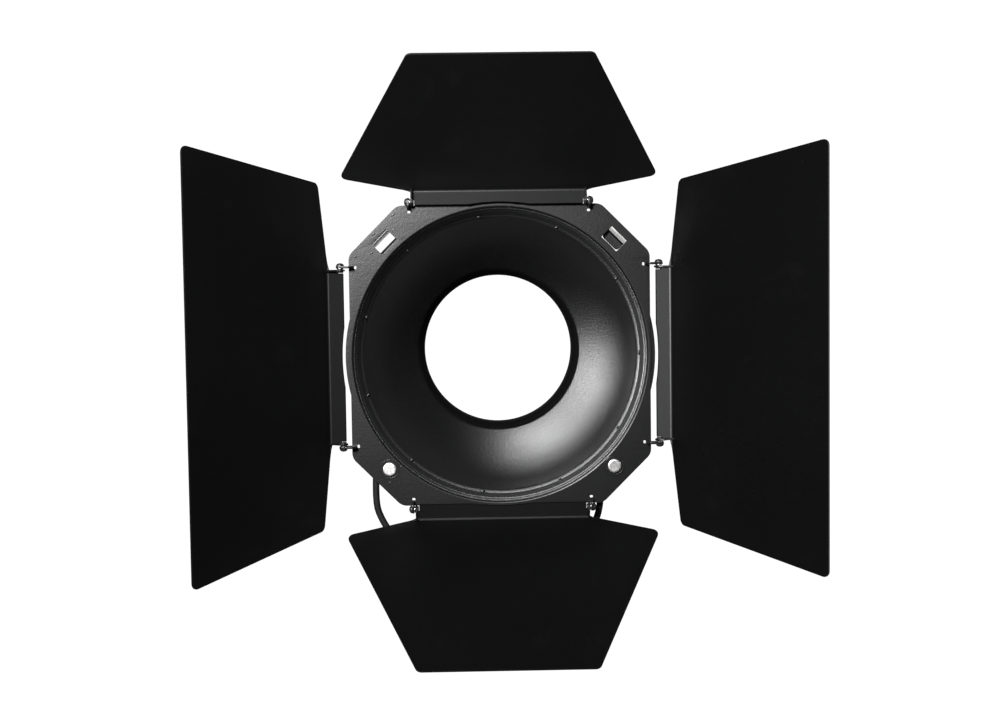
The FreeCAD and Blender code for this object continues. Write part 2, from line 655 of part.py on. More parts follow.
def make_cord():
    """A tube of straight runs joined by the largest tangent arcs that the runs allow."""
    radius = number("Sizes.cord_radius")
    points = [FreeCAD.Vector(*point) for point in CORD_ROUTE]
    edges = []
    radii = []
    start = points[0]
    for before, corner, after in zip(points, points[1:], points[2:]):
        back = (before - corner)
        ahead = (after - corner)
        setback = 0.45 * min(back.Length, ahead.Length)
        back.normalize()
        ahead.normalize()
        half_turn = (math.pi - back.getAngle(ahead)) / 2
        bend = setback / math.tan(half_turn)
        radii.append(bend)
        entry = corner + back * setback
        leave = corner + ahead * setback
        inward = (back + ahead).normalize()
        middle = corner + inward * (bend / math.cos(half_turn) - bend)
        edges.append(Part.LineSegment(start, entry).toShape())
        edges.append(Part.Arc(entry, middle, leave).toShape())
        start = leave
    edges.append(Part.LineSegment(start, points[-1]).toShape())
    path = Part.Wire(edges)
    section = Part.Wire(Part.makeCircle(radius, points[0], points[1] - points[0]))
    tube = path.makePipeShell([section], True, False)
    expected = math.pi * radius ** 2 * path.Length
    print("cord length", round(path.Length, 1), "volume ratio", round(tube.Volume / expected, 4))
    print("cord radii", [round(bend, 1) for bend in radii])
    feature = DOCUMENT.addObject("Part::Feature", "hanging_cord")
    feature.Shape = tube
    PIECES.append(feature)


def make_anchors():
    """Ferrules that hold the cord's ends, each on a foot behind the plate."""
    back = "Sizes.plate_front - Sizes.plate_sheet"
    ends = (("left", CORD_ROUTE[0], "-0.3", "1.0"), ("right", CORD_ROUTE[-1], "0", "0"))
    for name, (x, y, z), shift, rise in ends:
        body = start_body(f"cord_anchor_{name}")
        barrel = add_sketch(body, "XY_Plane", "0")
        draw_circle(barrel, "0", "0", "Sizes.anchor_radius")
        pad(body, barrel, "Sizes.anchor_length")
        foot = add_sketch(body, "XY_Plane", f"3.5 + {rise}")
        draw_polygon(foot, [
            (f"{shift} - 1.5", "0"), (f"{shift} + 1.5", "0"),
            (f"{shift} + 1.5", f"-({back} + {y})"), (f"{shift} - 1.5", f"-({back} + {y})"),
        ])
        pad(body, foot, "5.5")
        body.Placement = FreeCAD.Placement(FreeCAD.Vector(x, y, z), FreeCAD.Rotation())


def check_and_write():
    """Stop on anything that failed, then write one file for each piece."""
    DOCUMENT.recompute()
    for item in DOCUMENT.Objects:
        assert not {"Invalid", "Error"} & set(item.State), f"{item.Label}: {item.State}"
    os.makedirs("parts", exist_ok=True)
    for piece in PIECES:
        shape = piece.Shape
        assert not shape.isNull(), f"{piece.Label}: no shape"
        assert shape.isValid(), f"{piece.Label}: not valid"
        shape.exportStep(f"parts/{piece.Label}.step")
        print(piece.Label, len(shape.Solids), round(shape.Volume, 1))


make_collar()
make_lugs()
make_bowl()
make_mouth_ring()
make_crimps()
make_collar_rivets()
make_plate()
make_drum()
make_tabs()
make_clips()
make_clip_rivets()
make_leaves()
make_hinge_pins()
make_cord()
make_anchors()
check_and_write()
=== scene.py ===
"""Looks of a four-leaf barn door on its round bowl reflector.

Shapes are drawn in millimetres, and turned into metres when they become objects. "Ahead" is the
distance forward of the collar's rear rim, along -Y, in which direction the light leaves.
"""
import json
import math
from collections import namedtuple

import bmesh
import bpy
from mathutils import Matrix, Vector


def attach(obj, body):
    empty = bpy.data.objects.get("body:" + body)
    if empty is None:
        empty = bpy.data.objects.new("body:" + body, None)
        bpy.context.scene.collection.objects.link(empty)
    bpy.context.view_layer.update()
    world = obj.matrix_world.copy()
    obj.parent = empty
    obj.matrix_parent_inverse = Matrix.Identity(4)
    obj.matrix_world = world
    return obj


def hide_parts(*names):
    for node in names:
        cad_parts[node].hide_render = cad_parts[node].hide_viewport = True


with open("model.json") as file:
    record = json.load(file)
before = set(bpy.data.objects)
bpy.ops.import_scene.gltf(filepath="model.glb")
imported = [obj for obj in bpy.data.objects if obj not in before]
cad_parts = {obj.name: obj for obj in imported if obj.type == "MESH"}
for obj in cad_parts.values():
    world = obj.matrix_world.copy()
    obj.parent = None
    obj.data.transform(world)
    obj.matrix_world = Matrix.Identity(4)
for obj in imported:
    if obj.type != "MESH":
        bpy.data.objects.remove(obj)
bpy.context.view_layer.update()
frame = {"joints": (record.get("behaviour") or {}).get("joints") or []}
MM = 0.001
TO_METRES = Matrix.Scale(MM, 4)
PIVOTS = {joint["name"]: joint["pos_m"] for joint in frame["joints"]}


def add_object(name, data):
    """A new object in the scene."""
    made = bpy.data.objects.new(name, data)
    bpy.context.scene.collection.objects.link(made)
    return made


def as_mesh(name, shape):
    """A new mesh from a bmesh, which is freed."""
    mesh = bpy.data.meshes.new(name)
    shape.to_mesh(mesh)
    shape.free()
    return mesh


# ---------------------------------------------------------------- sizes

PLATE_FRONT, PLATE_BACK = 106.0, 104.8
PLATE_HALF, PLATE_CHAMFER, PLATE_ROUND = 87.7, 28.5, 7.5
OPENING, LIP_ROUND = 85.9, 1.3
RIM = 87.4
AXIS_FORWARD = -PIVOTS["top_leaf_hinge"][1] / MM
CROSS_AXIS = PIVOTS["top_leaf_hinge"][2] / MM
SIDE_AXIS = PIVOTS["right_leaf_hinge"][0] / MM
EAR_IN, EAR_OUT = 51.8, 53.0
CHEEK_IN, CHEEK_OUT = 50.0, 51.0
PIN_HOLE = 1.25
RIVET_RADIUS = 93.3
WINDOW_RADIUS, WINDOW_LONG, WINDOW_WIDE = 94.2, 12.3, 8.0
TAB_HALF = 6.05
TAB_BEND = 0.8  # the window is cut this much further out, where its tab bends back
TAB_EDGE = WINDOW_RADIUS + WINDOW_WIDE / 2 + TAB_BEND
FOLD_INSIDE, SHEET = 1.3, 1.0
LEAF_LENGTH, LEAF_ROOT, FLANGE_SET = 124.5, 50.8, 1.2

# turn is about the lamp's axis and rest is the resting angle from closed, both in degrees. axis is
# the pivot's distance from the lamp's axis, flange the root flange's depth, wide and tip the
# panel's half widths where it is widest and at its end, and shoulder how far out it is widest.
Leaf = namedtuple("Leaf", "turn rest axis flange wide shoulder tip")
CROSS_LEAF = (CROSS_AXIS, 9.0, 90.8, 14.4, 46.5)
SIDE_LEAF = (SIDE_AXIS, 10.2, 100.6, 8.7, 111.7)
LEAVES = {
    "top": Leaf(0, 118, *CROSS_LEAF),
    "right": Leaf(90, 121, *SIDE_LEAF),
    "bottom": Leaf(180, 118, *CROSS_LEAF),
    "left": Leaf(-90, 118, *SIDE_LEAF),
}

# Segments round the large rings, the lower rivets, the hinge pins and the smallest marks
LARGE_ROUND, RIVET_ROUND, PIN_ROUND, SMALL_ROUND = 192, 48, 32, 16

# ---------------------------------------------------------------- camera

CAMERA_PLACE = (-0.01356, -0.8572, 0.0355)
PITCH, YAW, ROLL = 0.0517, 0.0174, -0.0137
FOCAL = 46.346


def make_camera():
    data = bpy.data.cameras.new("camera")
    data.sensor_width = 36.0
    data.sensor_fit = "HORIZONTAL"
    data.lens = FOCAL
    camera = add_object("camera", data)
    ahead = Vector((math.cos(PITCH) * math.sin(YAW), math.cos(PITCH) * math.cos(YAW),
                    -math.sin(PITCH)))
    level = Vector((math.cos(YAW), -math.sin(YAW), 0))
    above = level.cross(ahead)
    right = level * math.cos(ROLL) + above * math.sin(ROLL)
    up = above * math.cos(ROLL) - level * math.sin(ROLL)
    turn = Matrix((right, up, -ahead)).transposed().to_4x4()
    camera.matrix_world = Matrix.Translation(CAMERA_PLACE) @ turn
    bpy.context.scene.camera = camera


make_camera()

# ---------------------------------------------------------------- materials


class Nodes:
    """Short calls for building one material's node tree."""

    def __init__(self, name):
        self.material = bpy.data.materials.new(name)
        self.material.use_nodes = True
        self.tree = self.material.node_tree
        self.shader = self.tree.nodes["Principled BSDF"]
        self.place = self.add("ShaderNodeTexCoord").outputs["Object"]

    def add(self, kind, **settings):
        node = self.tree.nodes.new(kind)
        for key, value in settings.items():
            setattr(node, key, value)
        return node

    def link(self, source, target):
        self.tree.links.new(source, target)

    def noise(self, scale, detail=3.0, rough=0.5, stretch=None):
        """Noise with this many features in a metre; its grey output."""
        node = self.add("ShaderNodeTexNoise")
        node.inputs["Scale"].default_value = scale
        node.inputs["Detail"].default_value = detail
        node.inputs["Roughness"].default_value = rough
        source = self.place
        if stretch:
            mapping = self.add("ShaderNodeMapping")
            mapping.inputs["Scale"].default_value = stretch
            mapping.inputs["Rotation"].default_value = (0.4, 0.7, 0.3)
            self.link(source, mapping.inputs["Vector"])
            source = mapping.outputs["Vector"]
        self.link(source, node.inputs["Vector"])
        return node.outputs["Fac"]

    def cells(self, scale):
        """Distance to the nearest of this many points in a metre."""
        node = self.add("ShaderNodeTexVoronoi")
        node.inputs["Scale"].default_value = scale
        self.link(self.place, node.inputs["Vector"])
        return node.outputs["Distance"]

    def remap(self, source, low, high, out_low, out_high):
        node = self.add("ShaderNodeMapRange")
        for key, value in (("From Min", low), ("From Max", high), ("To Min", out_low),
                           ("To Max", out_high)):
            node.inputs[key].default_value = value
        self.link(source, node.inputs["Value"])
        return node.outputs["Result"]

    def math(self, operation, first, second):
        node = self.add("ShaderNodeMath", operation=operation)
        for socket, value in zip(node.inputs, (first, second)):
            if isinstance(value, (int, float)):
                socket.default_value = value
            else:
                self.link(value, socket)
        return node.outputs["Value"]

    def mix(self, factor, first, second):
        """A colour between two colours or outputs."""
        node = self.add("ShaderNodeMix", data_type="RGBA")
        self.link(factor, node.inputs["Factor"])
        for key, value in (("A", first), ("B", second)):
            socket = next(item for item in node.inputs if item.name == key and item.type == "RGBA")
            if isinstance(value, tuple):
                socket.default_value = (*value, 1.0)
            else:
                self.link(value, socket)
        return next(item for item in node.outputs if item.type == "RGBA")

    def bump(self, heights):
        """A chain of bumps: (height output, strength, distance in metres)."""
        normal = None
        for height, strength, distance in heights:
            node = self.add("ShaderNodeBump")
            node.inputs["Strength"].default_value = strength
            node.inputs["Distance"].default_value = distance
            self.link(height, node.inputs["Height"])
            if normal:
                self.link(normal, node.inputs["Normal"])
            normal = node.outputs["Normal"]
        self.link(normal, self.shader.inputs["Normal"])

    def finish(self, colour, roughness, **constants):
        self.link(colour, self.shader.inputs["Base Color"])
        self.link(roughness, self.shader.inputs["Roughness"])
        for key, value in constants.items():
            self.shader.inputs[key.replace("_", " ")].default_value = value
        return self.material


def grey(value, warm=0.0):
    return (value * (1 + warm), value, value * (1 - warm))


def powder_coat(name, dark, light, rough, grain, relief, specular):
    """Black textured powder coat: fine speckle, small pits and slow unevenness."""
    nodes = Nodes(name)
    fine = nodes.noise(grain, 2.0, 0.6)
    slow = nodes.noise(28.0, 3.0, 0.5)
    speck = nodes.math("ADD", nodes.math("MULTIPLY", fine, 0.75),
                       nodes.math("MULTIPLY", slow, 0.25))
    colour = nodes.mix(nodes.remap(speck, 0.38, 0.66, 0.0, 1.0), dark, light)
    smoothest, roughest = rough
    roughness = nodes.remap(speck, 0.35, 0.65, roughest, smoothest)
    coarse = nodes.noise(grain * 0.45, 2.0, 0.5)
    nodes.bump([(fine, relief, 0.00012), (coarse, relief * 0.6, 0.00015)])
    return nodes.finish(colour, roughness, Specular_IOR_Level=specular)


def leaf_paint():
    """Black sheet paint with faint scuffs, handling marks and dust."""
    nodes = Nodes("leaf_paint")
    grain = nodes.noise(1900.0, 2.0, 0.6)
    slow = nodes.noise(14.0, 4.0, 0.55)
    scuff = nodes.noise(60.0, 5.0, 0.62, stretch=(1.0, 0.12, 1.0))
    marks = nodes.remap(scuff, 0.60, 0.74, 0.0, 1.0)
    dust = nodes.remap(nodes.cells(230.0), 0.055, 0.03, 0.0, 1.0)
    seldom = nodes.remap(nodes.noise(95.0, 2.0, 0.5), 0.56, 0.62, 0.0, 1.0)
    specks = nodes.math("MULTIPLY", dust, seldom)
    base = nodes.mix(nodes.remap(slow, 0.35, 0.65, 0.0, 1.0), grey(0.0030, -0.03),
                     grey(0.0050, -0.03))
    base = nodes.mix(nodes.math("MULTIPLY", marks, 0.5), base, grey(0.011, -0.02))
    base = nodes.mix(nodes.math("MULTIPLY", specks, 0.7), base, grey(0.09, 0.02))
    roughness = nodes.math("SUBTRACT", nodes.remap(slow, 0.35, 0.65, 0.50, 0.44),
                           nodes.math("MULTIPLY", marks, 0.06))
    nodes.bump([(grain, 0.5, 0.00012), (nodes.noise(9.0, 2.0, 0.4), 0.2, 0.001)])
    return nodes.finish(base, roughness, Specular_IOR_Level=0.30)


def worn_metal(name, dark, light, rough):
    """Bare or plated metal with fine rubbing marks and dulled patches."""
    nodes = Nodes(name)
    rubbed = nodes.noise(700.0, 4.0, 0.6, stretch=(1.0, 0.2, 1.0))
    patch = nodes.noise(160.0, 3.0, 0.55)
    colour = nodes.mix(nodes.remap(patch, 0.35, 0.7, 0.0, 1.0), light, dark)
    roughness = nodes.remap(rubbed, 0.3, 0.7, *rough)
    nodes.bump([(rubbed, 0.12, 0.0001), (patch, 0.1, 0.0002)])
    return nodes.finish(colour, roughness, Metallic=1.0)


def cord_sheath():
    """Soft black cord with a faint unevenness."""
    nodes = Nodes("cord_black")
    fine = nodes.noise(2400.0, 2.0, 0.6)
    slow = nodes.noise(120.0, 3.0, 0.5)
    colour = nodes.mix(nodes.remap(slow, 0.35, 0.65, 0.0, 1.0), grey(0.006), grey(0.011))
    nodes.bump([(fine, 0.3, 0.0002), (slow, 0.2, 0.0005)])
    return nodes.finish(colour, nodes.remap(fine, 0.3, 0.7, 0.55, 0.72), Specular_IOR_Level=0.3)


MATERIALS = {
    "leaf_paint": leaf_paint(),
    "frame_paint": powder_coat(
        "frame_paint", dark=grey(0.0030, -0.03), light=grey(0.0080, -0.03), rough=(0.31, 0.40),
        grain=1150.0, relief=0.42, specular=0.5),
    "reflector_paint": powder_coat(
        "reflector_paint", dark=grey(0.003, -0.03), light=grey(0.008, -0.03), rough=(0.38, 0.48),
        grain=1000.0, relief=1.3, specular=0.5),
    "collar_black": powder_coat(
        "collar_black", dark=grey(0.0025), light=grey(0.005), rough=(0.55, 0.66),
        grain=900.0, relief=0.2, specular=0.04),
    "spring_steel": worn_metal(
        "spring_steel", dark=grey(0.42, 0.02), light=grey(0.62, 0.01), rough=(0.22, 0.38)),
    "bare_steel": worn_metal(
        "bare_steel", dark=grey(0.56, 0.01), light=grey(0.72, 0.01), rough=(0.34, 0.46)),
    "hinge_rivet_black": powder_coat(
        "hinge_rivet_black", dark=grey(0.012), light=grey(0.026), rough=(0.34, 0.48),
        grain=1400.0, relief=0.3, specular=0.5),
    "cord_black": cord_sheath(),
    "ferrule_black": powder_coat(
        "ferrule_black", dark=grey(0.008), light=grey(0.018), rough=(0.4, 0.52),
        grain=1200.0, relief=0.3, specular=0.4),
}

# ---------------------------------------------------------------- shape helpers

SHARP_FROM = 38  # degrees between faces, from which their edge is drawn sharp
EDGE_EASED_FROM = 50  # degrees between faces, from which a bevel eases their edge

# Turned shapes about the lamp's axis: local Z becomes forward
ABOUT_LAMP = Matrix.Rotation(math.radians(90), 4, "X")


def forward(x, ahead, z):
    return Vector((x, -ahead, z))


def side_frame(turn):
    """Local X along a side of the plate, local Z outward, local -Y forward."""
    return Matrix.Rotation(math.radians(turn), 4, "Y")


def points(*places):
    return [Vector(place) for place in places]


def rounded(corners, steps=5):
    """A closed outline with its corners rounded: corners are (x, y, radius)."""
    outline = []
    count = len(corners)
    for index, (x, y, radius) in enumerate(corners):
        here = Vector((x, y))
        back = Vector(corners[index - 1][:2]) - here
        ahead = Vector(corners[(index + 1) % count][:2]) - here
        if radius <= 0:
            outline.append(here)
            continue
        half = back.angle(ahead) / 2
        reach = min(radius / math.tan(half), 0.48 * back.length, 0.48 * ahead.length)
        back.normalize()
        ahead.normalize()
        radius = reach * math.tan(half)
        centre = here + (back + ahead).normalized() * (radius / math.sin(half))
        first = here + back * reach - centre
        last = here + ahead * reach - centre
        angle = math.atan2(first.y, first.x)
        sweep = (math.atan2(last.y, last.x) - angle + math.pi) % (2 * math.pi) - math.pi
        for step in range(steps + 1):
            at = angle + sweep * step / steps
            outline.append(centre + Vector((math.cos(at), math.sin(at))) * radius)
    return outline


def ring_outline(radius, count):
    return [Vector((radius * math.cos(2 * math.pi * i / count),
                    radius * math.sin(2 * math.pi * i / count))) for i in range(count)]


def cut_sheet(outlines, thickness, edge, place):
    """Flat sheet cut to outlines, the first the outside, with eased edges, in a placement."""
    curve = bpy.data.curves.new("outline", "CURVE")
    curve.dimensions = "2D"
    curve.fill_mode = "BOTH"
    curve.extrude = thickness / 2 - edge
    curve.bevel_depth = edge
    curve.bevel_resolution = 1
    curve.offset = -edge
    for outline in outlines:
        spline = curve.splines.new("POLY")
        spline.points.add(len(outline) - 1)
        for point, (x, y) in zip(spline.points, outline):
            point.co = (x, y, 0, 1)
        spline.use_cyclic_u = True
    holder = add_object("outline", curve)
    mesh = bpy.data.meshes.new_from_object(holder)
    bpy.data.objects.remove(holder)
    bpy.data.curves.remove(curve)
    mesh.transform(place)
    return mesh


def turned_mesh(profile, place, segments):
    """A closed (radius, height) profile turned about its local Z axis, in a placement."""
    shape = bmesh.new()
    rings = []
    for column in range(segments):
        angle = 2 * math.pi * column / segments
        rings.append([shape.verts.new((radius * math.cos(angle), radius * math.sin(angle), height))
                      for radius, height in profile])
    count = len(profile)
    for column in range(segments):
        here, following = rings[column], rings[(column + 1) % segments]
        for i in range(count):
            j = (i + 1) % count
            shape.faces.new((here[i], following[i], following[j], here[j]))
    bmesh.ops.remove_doubles(shape, verts=shape.verts[:], dist=1e-5)
    bmesh.ops.recalc_face_normals(shape, faces=shape.faces[:])
    mesh = as_mesh("turned", shape)
    mesh.transform(place)
    return mesh


def add_bevel(holder, width, angle):
    eased = holder.modifiers.new("eased", "BEVEL")
    eased.width = width
    eased.segments = 2
    eased.limit_method = "ANGLE"
    eased.angle_limit = math.radians(angle)


def make_piece(name, meshes, body, slot, node, bevel=0.0, flat_faces=False):
    """Join meshes drawn in millimetres into one piece that stands for a CAD node."""
    shape = bmesh.new()
    for mesh in meshes:
        shape.from_mesh(mesh)
        bpy.data.meshes.remove(mesh)
    bmesh.ops.remove_doubles(shape, verts=shape.verts[:], dist=1e-4)
    bmesh.ops.transform(shape, matrix=TO_METRES, verts=shape.verts[:])
    mesh = as_mesh(name, shape)
    for polygon in mesh.polygons:
        polygon.use_smooth = True
    mesh.set_sharp_from_angle(angle=math.radians(SHARP_FROM))
    mesh.materials.append(MATERIALS[slot])
    piece = add_object(name, mesh)
    if bevel:
        add_bevel(piece, bevel * MM, EDGE_EASED_FROM)
    if flat_faces:
        level = piece.modifiers.new("level", "WEIGHTED_NORMAL")
        level.keep_sharp = True
    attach(piece, body)
    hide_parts(node)
    return piece


# ---------------------------------------------------------------- the hanging cord

CORD_ROUTE = [
    (-74.7, -96.5, -69.5),
    (-75.4, -96.5, -86),
    (-72.6, -96.2, -96),
    (-65.5, -95.8, -107.5),
    (-54.2, -95.3, -119),
    (-40, -94.8, -128),
    (-24.5, -94.4, -134.5),
    (-8.5, -94.2, -138),
    (8, -94.3, -137.5),
    (23.5, -94.6, -133),
    (36, -95.1, -125),
    (46, -95.6, -114.5),
    (53.2, -96.1, -104.5),
    (58.2, -96.5, -93.5),
    (58.5, -96.5, -83),
]
CORD_THICK = 4.0


def make_cord():
    curve = bpy.data.curves.new("hanging_cord_visual", "CURVE")
    curve.dimensions = "3D"
    spline = curve.splines.new("NURBS")
    spline.points.add(len(CORD_ROUTE) - 1)
    for point, place in zip(spline.points, CORD_ROUTE):
        point.co = (*(value * MM for value in place), 1)
    spline.order_u = 3
    spline.use_endpoint_u = True
    curve.bevel_depth = CORD_THICK / 2 * MM
    curve.bevel_resolution = 6
    curve.resolution_u = 10
    curve.use_fill_caps = True
    curve.materials.append(MATERIALS["cord_black"])
    cord = add_object("hanging_cord_visual", curve)
    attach(cord, "frame")
    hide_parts("hanging_cord")


make_cord()

# ---------------------------------------------------------------- the reflector

# The bowl's wall is one arc: its centre, as radius and ahead, and its radius inside
BOWL_CENTRE_R, BOWL_CENTRE_F, BOWL_SWEEP = -37.6, 96.84, 118.0
BOWL_WALL, BOWL_STEPS = 1, 40
BOWL_BACK, BOWL_BACK_OUTSIDE, BOWL_MOUTH = 18.0, 19.4, 95.6
CRIMPS, CRIMP_RADIUS = 11, 81.8


def bowl_wall(sweep, first, last):
    """Points of the bowl's wall between two distances ahead."""
    places = []
    for step in range(BOWL_STEPS + 1):
        ahead = first + (last - first) * step / BOWL_STEPS
        places.append(Vector((BOWL_CENTRE_R + math.sqrt(sweep ** 2 - (BOWL_CENTRE_F - ahead) ** 2),
                              ahead)))
    return places


def make_bowl():
    """The spun bowl, from the foot on the collar to the lip at its mouth."""
    inner = bowl_wall(BOWL_SWEEP, BOWL_BACK, BOWL_MOUTH)
    outer = bowl_wall(BOWL_SWEEP + BOWL_WALL, BOWL_MOUTH, BOWL_BACK_OUTSIDE)
    lip = points((80.5, 96.4), (80.9, 96.9), (RIM - 0.3, 97.0), (RIM, 96.8),
                 (RIM, 96.2), (RIM - 0.3, 96.0), (82.2, 96.0))
    foot = points((52.6, 19.0), (54.9, 19.0), (55.2, 18.7), (55.2, 18.0))
    bowl = turned_mesh(inner + lip + outer + foot, ABOUT_LAMP, LARGE_ROUND)
    make_piece("reflector_bowl_visual", [bowl], "reflector", "reflector_paint", "reflector_bowl")


def make_mouth_ring():
    """The pressed ring round the mouth: a rounded rim and a sloping shoulder inside it."""
    ring = rounded([
        (80.6, 97.0, 0), (RIM, 97.0, 0), (RIM, 103.6, 0.6), (RIM - 0.7, 104.3, 0.5),
        (RIM - 1.9, 104.3, 0.5), (RIM - 2.5, 103.7, 0.4), (RIM - 2.6, 103.0, 0.3),
        (RIM - 3.2, 102.6, 0.4), (82.2, 98.9, 0.5), (81.4, 98.4, 0.4), (80.7, 97.7, 0.3),
    ], 4)
    make_piece("mouth_ring_visual", [turned_mesh(ring, ABOUT_LAMP, LARGE_ROUND)],
               "reflector", "reflector_paint", "mouth_ring")


def make_crimps():
    """Small oval domes in the foot of the ring's shoulder, each turned a different way."""
    dome = points((0, 97.9), (1.1, 97.9), (1.05, 98.9), (0.8, 99.3), (0.4, 99.5), (0, 99.55))
    squeeze = Matrix.Diagonal((0.75, 1.3, 1, 1))
    crimps = []
    for index in range(CRIMPS):
        angle = 2 * math.pi * index / CRIMPS
        place = Matrix.Translation((CRIMP_RADIUS * math.cos(angle), 0,
                                    CRIMP_RADIUS * math.sin(angle)))
        turn = ABOUT_LAMP @ Matrix.Rotation(-angle, 4, "Z")
        crimps.append(turned_mesh(dome, place @ turn @ squeeze, SMALL_ROUND))
    make_piece("ring_crimps_visual", crimps, "reflector", "reflector_paint", "ring_crimps")


def make_collar():
    """The lamp collar, with a thin lip that covers the bowl's back edge from inside."""
    collar = rounded([
        (48.4, 0, 0.2), (50.2, 0, 0.3), (51.0, 0.8, 0.3), (51.0, 16.5, 0.6), (55.6, 16.5, 0.3),
        (55.6, 18.0, 0.2), (51.2, 18.0, 0.2), (52.0, 20.3, 0.15), (51.6, 20.5, 0.2),
        (48.9, 17.6, 0.8), (48.4, 16.0, 0.8),
    ], 3)
    make_piece("lamp_collar_visual", [turned_mesh(collar, ABOUT_LAMP, LARGE_ROUND)],
               "reflector", "collar_black", "lamp_collar")


make_bowl()
make_mouth_ring()
make_crimps()
make_collar()

# ---------------------------------------------------------------- the frame plate

FRONT_FACE = Matrix.Translation(forward(0, (PLATE_FRONT + PLATE_BACK) / 2, 0)) @ ABOUT_LAMP
EAR_SLOT = ((51.3, 83.2), (53.1, 83.2), (53.1, 84.6), (51.3, 84.6))
EAR_TOP = 2.6  # metal outward of the pivot
# How far the opening's lip stands in front of the plate's face, and reaches into its sheet
LIP_PROUD, LIP_OVERLAP = 0.02, 1.0
LIP_STEP, LIP_END = 12, 85  # degrees
DIMPLES = (
    # x, z, half length, half width
    (-61.4, 82.4, 1.4, 0.6), (-72.9, 71.3, 1.3, 0.6), (-61.2, 73.7, 1.3, 0.6),
    (-74.2, 60.5, 1.3, 0.6), (-83.6, 58.5, 1.2, 0.6), (-66.1, -74.0, 1.2, 0.5),
    (-59.4, -64.7, 0.8, 0.5),
)
# Behind this depth a tab is a little wider than its window
TAB_DEEP, TAB_SPREAD = 103, 1.04


def plate_outlines():
    """Outside, opening, windows and ear slots, in x and z."""
    half, short = PLATE_HALF, PLATE_HALF - PLATE_CHAMFER
    outside = rounded([(x, z, PLATE_ROUND) for x, z in (
        (-short, -half), (short, -half), (half, -short), (half, short),
        (short, half), (-short, half), (-half, short), (-half, -short))], 8)
    outlines = [outside, ring_outline(OPENING + LIP_ROUND, LARGE_ROUND)]
    for side in (1, -1):
        middle = Vector((side, 1)).normalized() * WINDOW_RADIUS
        inward = Vector((side, 1)).normalized() * WINDOW_WIDE / 2
        outward = Vector((side, 1)).normalized() * (WINDOW_WIDE / 2 + TAB_BEND)
        along = Vector((-side, 1)).normalized() * WINDOW_LONG / 2
        corners = [middle + outward + along, middle - inward + along,
                   middle - inward - along, middle + outward - along]
        outlines.append(rounded([(*corner, 0.7) for corner in corners], 3))
    for turn in range(4):
        spin = Matrix.Rotation(math.radians(90 * turn), 2)
        for side in (1, -1):
            corners = [Vector((side * x, z)) for x, z in EAR_SLOT]
            outlines.append(rounded([(*(spin @ corner), 0.5) for corner in corners], 3))
    return outlines


def ear_mesh(turn, side):
    """One hinge ear: a rounded tab that stands forward out of the plate.

    Its outline's x is outward and its y is forward, and its thickness lies along the side.
    """
    lift = AXIS_FORWARD
    top = (CROSS_AXIS if turn % 180 == 0 else SIDE_AXIS) + EAR_TOP
    outline = rounded([
        (84.6, PLATE_BACK, 0.2), (top - 1.6, PLATE_BACK, 0.6), (top, lift - 0.6, 1.8),
        (top - 0.6, lift + 2.4, 1.5), (86.6, lift + 2.6, 1.8), (84.9, lift + 0.6, 1.0),
        (84.6, PLATE_FRONT + 1.0, 0.8),
    ], 4)
    middle = side * (EAR_IN + EAR_OUT) / 2
    axes = Matrix(((0, 0, 1, middle), (0, -1, 0, 0), (1, 0, 0, 0), (0, 0, 0, 1)))
    return cut_sheet([outline], EAR_OUT - EAR_IN, 0.18, side_frame(turn) @ axes)


def opening_lip():
    """The drawn, rounded edge of the plate's opening."""
    arc = [Vector((OPENING + LIP_ROUND - LIP_ROUND * math.sin(math.radians(turn)),
                   PLATE_FRONT + LIP_PROUD - LIP_ROUND * (1 - math.cos(math.radians(turn)))))
           for turn in range(0, LIP_END, LIP_STEP)]
    outside = points((OPENING + LIP_ROUND + LIP_OVERLAP, PLATE_BACK + 0.1),
                     (OPENING + LIP_ROUND + LIP_OVERLAP, PLATE_FRONT + LIP_PROUD))
    inside = points((OPENING + 0.05, PLATE_BACK + 0.05))
    return turned_mesh(outside + arc + inside, ABOUT_LAMP, LARGE_ROUND)


def pressed_marks():
    """The small pressed and staked marks on the plate's face."""
    dome = points((0, -0.1), (1, -0.1), (0.92, 0.06), (0.7, 0.13), (0.36, 0.17), (0, 0.18))
    marks = []
    for x, z, length, width in DIMPLES:
        shape = turned_mesh(dome, Matrix.Diagonal((length, width, 1, 1)), SMALL_ROUND)
        shape.transform(Matrix.Translation(forward(x, PLATE_FRONT, z)) @ ABOUT_LAMP
                        @ Matrix.Rotation(math.radians(45), 4, "Z"))
        marks.append(shape)
    return marks


def tab_mesh(side, section, round_end):
    """A tab bent back at an upper window; its section is in radius and distance ahead."""
    shape = bmesh.new()
    rows = [[shape.verts.new((radius, ahead, edge)) for radius, ahead in section]
            for edge in (-TAB_HALF, TAB_HALF)]
    count = len(section)
    for i in range(count):
        j = (i + 1) % count
        shape.faces.new((rows[0][i], rows[0][j], rows[1][j], rows[1][i]))
    shape.faces.new(list(reversed(rows[0])))
    shape.faces.new(rows[1])
    bmesh.ops.recalc_face_normals(shape, faces=shape.faces[:])
    end = min(place[0] for place in section)
    diagonal = math.sqrt(0.5)
    for vertex in shape.verts:
        radius, ahead, width = vertex.co
        if radius - end < round_end:
            short = round_end - math.sqrt(round_end ** 2 - (round_end - (radius - end)) ** 2)
            width = math.copysign(TAB_HALF - short, width)
        if ahead < TAB_DEEP:
            width *= TAB_SPREAD
        vertex.co = (side * (radius + width) * diagonal, -ahead, (radius - width) * diagonal)
    return as_mesh("tab", shape)


